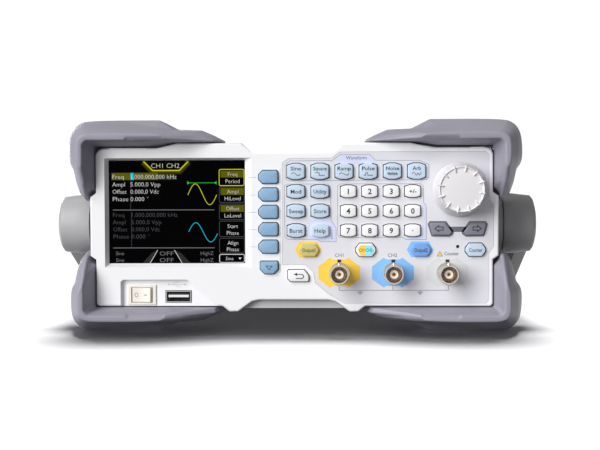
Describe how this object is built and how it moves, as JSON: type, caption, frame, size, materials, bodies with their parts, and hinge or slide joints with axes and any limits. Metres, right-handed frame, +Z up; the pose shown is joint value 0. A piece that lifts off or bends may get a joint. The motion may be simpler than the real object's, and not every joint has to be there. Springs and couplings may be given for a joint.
{
  "type": "function generator",
  "caption": "Bench function generator with colour display, keypad, tuning knob, coaxial outputs, corner bumpers and a swinging carrying handle.",
  "frame": {"origin": "bottom centre of the bounding box, on the surface the instrument stands on", "axes": "+X right as seen from the front, -Y out of the front panel, +Z up"},
  "size_m": [0.2616, 0.3184, 0.112],
  "materials": {
    "pale_blue_key": "satin",
    "white_key": "satin",
    "blue_key": "satin",
    "grey_key": "satin",
    "yellow_key": "satin",
    "sky_key": "satin",
    "select_key": "satin",
    "white_plastic": "satin",
    "overlay_print": "satin",
    "window": "clear",
    "display": "smooth",
    "board": "smooth",
    "cream_plastic": "satin",
    "port_metal": "brushed",
    "nickel": "polished",
    "insulator": "satin",
    "case_metal": "fine texture",
    "bumper": "matt, fine grain",
    "handle_plastic": "fine grain",
    "black_plastic": "satin",
    "white_knob": "satin"
  },
  "bodies": {
    "chassis": {"front_bezel": "white_plastic", "keypad_overlay": "overlay_print", "display_window": "window", "lcd_module": "display", "circuit_boards": "board", "power_switch_frame": "cream_plastic", "data_ports": "port_metal", "bnc_shells": "nickel", "bnc_inserts": "insulator", "top_cover": "case_metal", "bottom_cover": "case_metal", "rear_panel": "case_metal", "front_bumpers": "bumper", "rear_bumpers": "bumper", "handle_pivots": "handle_plastic", "mains_inlet": "black_plastic", "fan_frame": "black_plastic", "power_supply": "board", "case_screws": "nickel"},
    "key_sine": {"key_sine": "pale_blue_key"},
    "key_square": {"key_square": "pale_blue_key"},
    "key_ramp": {"key_ramp": "pale_blue_key"},
    "key_pulse": {"key_pulse": "pale_blue_key"},
    "key_noise": {"key_noise": "pale_blue_key"},
    "key_arb": {"key_arb": "pale_blue_key"},
    "key_mod": {"key_mod": "pale_blue_key"},
    "key_sweep": {"key_sweep": "pale_blue_key"},
    "key_burst": {"key_burst": "pale_blue_key"},
    "key_utility": {"key_utility": "pale_blue_key"},
    "key_store": {"key_store": "pale_blue_key"},
    "key_help": {"key_help": "pale_blue_key"},
    "key_num_0": {"key_num_0": "white_key"},
    "key_num_1": {"key_num_1": "white_key"},
    "key_num_2": {"key_num_2": "white_key"},
    "key_num_3": {"key_num_3": "white_key"},
    "key_num_4": {"key_num_4": "white_key"},
    "key_num_5": {"key_num_5": "white_key"},
    "key_num_6": {"key_num_6": "white_key"},
    "key_num_7": {"key_num_7": "white_key"},
    "key_num_8": {"key_num_8": "white_key"},
    "key_num_9": {"key_num_9": "white_key"},
    "key_sign": {"key_sign": "white_key"},
    "key_point": {"key_point": "white_key"},
    "soft_key_1": {"soft_key_1": "blue_key"},
    "soft_key_2": {"soft_key_2": "blue_key"},
    "soft_key_3": {"soft_key_3": "blue_key"},
    "soft_key_4": {"soft_key_4": "blue_key"},
    "soft_key_5": {"soft_key_5": "blue_key"},
    "key_page": {"key_page": "blue_key"},
    "key_back": {"key_back": "white_key"},
    "key_left": {"key_left": "grey_key"},
    "key_right": {"key_right": "grey_key"},
    "key_output_1": {"key_output_1": "yellow_key"},
    "key_channel_select": {"key_channel_select": "select_key"},
    "key_output_2": {"key_output_2": "sky_key"},
    "key_counter": {"key_counter": "pale_blue_key"},
    "tuning_knob": {"tuning_knob": "white_knob"},
    "power_rocker": {"power_rocker": "cream_plastic"},
    "handle_frame": {"handle_frame": "handle_plastic"},
    "fan_rotor": {"fan_rotor": "black_plastic"}
  },
  "joints": [
    {"name": "handle_swing", "type": "hinge", "parent": "chassis", "child": "handle_frame", "pos_m": [0, -0.1, 0.056], "axis": [-1, 0, 0], "range_deg": [0, 308]},
    {"name": "knob_turn", "type": "hinge", "parent": "chassis", "child": "tuning_knob", "pos_m": [0.0852, -0.145, 0.075], "axis": [0, -1, 0], "continuous": true},
    {"name": "rocker_tilt", "type": "hinge", "parent": "chassis", "child": "power_rocker", "pos_m": [-0.0789, -0.1412, 0.0206], "axis": [0, 0, 1], "range_deg": [0, 14]},
    {"name": "fan_spin", "type": "hinge", "parent": "chassis", "child": "fan_rotor", "pos_m": [-0.058, 0.137, 0.056], "axis": [0, 1, 0], "continuous": true},
    {"name": "key_sine_press", "type": "slide", "parent": "chassis", "child": "key_sine", "axis": [0, 1, 0], "range_m": [0, 0.001], "stiffness_N_per_m": 1000},
    {"name": "key_square_press", "type": "slide", "parent": "chassis", "child": "key_square", "axis": [0, 1, 0], "range_m": [0, 0.001], "stiffness_N_per_m": 1000},
    {"name": "key_ramp_press", "type": "slide", "parent": "chassis", "child": "key_ramp", "axis": [0, 1, 0], "range_m": [0, 0.001], "stiffness_N_per_m": 1000},
    {"name": "key_pulse_press", "type": "slide", "parent": "chassis", "child": "key_pulse", "axis": [0, 1, 0], "range_m": [0, 0.001], "stiffness_N_per_m": 1000},
    {"name": "key_noise_press", "type": "slide", "parent": "chassis", "child": "key_noise", "axis": [0, 1, 0], "range_m": [0, 0.001], "stiffness_N_per_m": 1000},
    {"name": "key_arb_press", "type": "slide", "parent": "chassis", "child": "key_arb", "axis": [0, 1, 0], "range_m": [0, 0.001], "stiffness_N_per_m": 1000},
    {"name": "key_mod_press", "type": "slide", "parent": "chassis", "child": "key_mod", "axis": [0, 1, 0], "range_m": [0, 0.001], "stiffness_N_per_m": 1000},
    {"name": "key_sweep_press", "type": "slide", "parent": "chassis", "child": "key_sweep", "axis": [0, 1, 0], "range_m": [0, 0.001], "stiffness_N_per_m": 1000},
    {"name": "key_burst_press", "type": "slide", "parent": "chassis", "child": "key_burst", "axis": [0, 1, 0], "range_m": [0, 0.001], "stiffness_N_per_m": 1000},
    {"name": "key_utility_press", "type": "slide", "parent": "chassis", "child": "key_utility", "axis": [0, 1, 0], "range_m": [0, 0.001], "stiffness_N_per_m": 1000},
    {"name": "key_store_press", "type": "slide", "parent": "chassis", "child": "key_store", "axis": [0, 1, 0], "range_m": [0, 0.001], "stiffness_N_per_m": 1000},
    {"name": "key_help_press", "type": "slide", "parent": "chassis", "child": "key_help", "axis": [0, 1, 0], "range_m": [0, 0.001], "stiffness_N_per_m": 1000},
    {"name": "key_num_0_press", "type": "slide", "parent": "chassis", "child": "key_num_0", "axis": [0, 1, 0], "range_m": [0, 0.001], "stiffness_N_per_m": 1000},
    {"name": "key_num_1_press", "type": "slide", "parent": "chassis", "child": "key_num_1", "axis": [0, 1, 0], "range_m": [0, 0.001], "stiffness_N_per_m": 1000},
    {"name": "key_num_2_press", "type": "slide", "parent": "chassis", "child": "key_num_2", "axis": [0, 1, 0], "range_m": [0, 0.001], "stiffness_N_per_m": 1000},
    {"name": "key_num_3_press", "type": "slide", "parent": "chassis", "child": "key_num_3", "axis": [0, 1, 0], "range_m": [0, 0.001], "stiffness_N_per_m": 1000},
    {"name": "key_num_4_press", "type": "slide", "parent": "chassis", "child": "key_num_4", "axis": [0, 1, 0], "range_m": [0, 0.001], "stiffness_N_per_m": 1000},
    {"name": "key_num_5_press", "type": "slide", "parent": "chassis", "child": "key_num_5", "axis": [0, 1, 0], "range_m": [0, 0.001], "stiffness_N_per_m": 1000},
    {"name": "key_num_6_press", "type": "slide", "parent": "chassis", "child": "key_num_6", "axis": [0, 1, 0], "range_m": [0, 0.001], "stiffness_N_per_m": 1000},
    {"name": "key_num_7_press", "type": "slide", "parent": "chassis", "child": "key_num_7", "axis": [0, 1, 0], "range_m": [0, 0.001], "stiffness_N_per_m": 1000},
    {"name": "key_num_8_press", "type": "slide", "parent": "chassis", "child": "key_num_8", "axis": [0, 1, 0], "range_m": [0, 0.001], "stiffness_N_per_m": 1000},
    {"name": "key_num_9_press", "type": "slide", "parent": "chassis", "child": "key_num_9", "axis": [0, 1, 0], "range_m": [0, 0.001], "stiffness_N_per_m": 1000},
    {"name": "key_sign_press", "type": "slide", "parent": "chassis", "child": "key_sign", "axis": [0, 1, 0], "range_m": [0, 0.001], "stiffness_N_per_m": 1000},
    {"name": "key_point_press", "type": "slide", "parent": "chassis", "child": "key_point", "axis": [0, 1, 0], "range_m": [0, 0.001], "stiffness_N_per_m": 1000},
    {"name": "soft_key_1_press", "type": "slide", "parent": "chassis", "child": "soft_key_1", "axis": [0, 1, 0], "range_m": [0, 0.001], "stiffness_N_per_m": 1000},
    {"name": "soft_key_2_press", "type": "slide", "parent": "chassis", "child": "soft_key_2", "axis": [0, 1, 0], "range_m": [0, 0.001], "stiffness_N_per_m": 1000},
    {"name": "soft_key_3_press", "type": "slide", "parent": "chassis", "child": "soft_key_3", "axis": [0, 1, 0], "range_m": [0, 0.001], "stiffness_N_per_m": 1000},
    {"name": "soft_key_4_press", "type": "slide", "parent": "chassis", "child": "soft_key_4", "axis": [0, 1, 0], "range_m": [0, 0.001], "stiffness_N_per_m": 1000},
    {"name": "soft_key_5_press", "type": "slide", "parent": "chassis", "child": "soft_key_5", "axis": [0, 1, 0], "range_m": [0, 0.001], "stiffness_N_per_m": 1000},
    {"name": "key_page_press", "type": "slide", "parent": "chassis", "child": "key_page", "axis": [0, 1, 0], "range_m": [0, 0.001], "stiffness_N_per_m": 1000},
    {"name": "key_back_press", "type": "slide", "parent": "chassis", "child": "key_back", "axis": [0, 1, 0], "range_m": [0, 0.001], "stiffness_N_per_m": 1000},
    {"name": "key_left_press", "type": "slide", "parent": "chassis", "child": "key_left", "axis": [0, 1, 0], "range_m": [0, 0.001], "stiffness_N_per_m": 1000},
    {"name": "key_right_press", "type": "slide", "parent": "chassis", "child": "key_right", "axis": [0, 1, 0], "range_m": [0, 0.001], "stiffness_N_per_m": 1000},
    {"name": "key_output_1_press", "type": "slide", "parent": "chassis", "child": "key_output_1", "axis": [0, 1, 0], "range_m": [0, 0.001], "stiffness_N_per_m": 1000},
    {"name": "key_channel_select_press", "type": "slide", "parent": "chassis", "child": "key_channel_select", "axis": [0, 1, 0], "range_m": [0, 0.001], "stiffness_N_per_m": 1000},
    {"name": "key_output_2_press", "type": "slide", "parent": "chassis", "child": "key_output_2", "axis": [0, 1, 0], "range_m": [0, 0.001], "stiffness_N_per_m": 1000},
    {"name": "key_counter_press", "type": "slide", "parent": "chassis", "child": "key_counter", "axis": [0, 1, 0], "range_m": [0, 0.001], "stiffness_N_per_m": 1000}
  ]
}
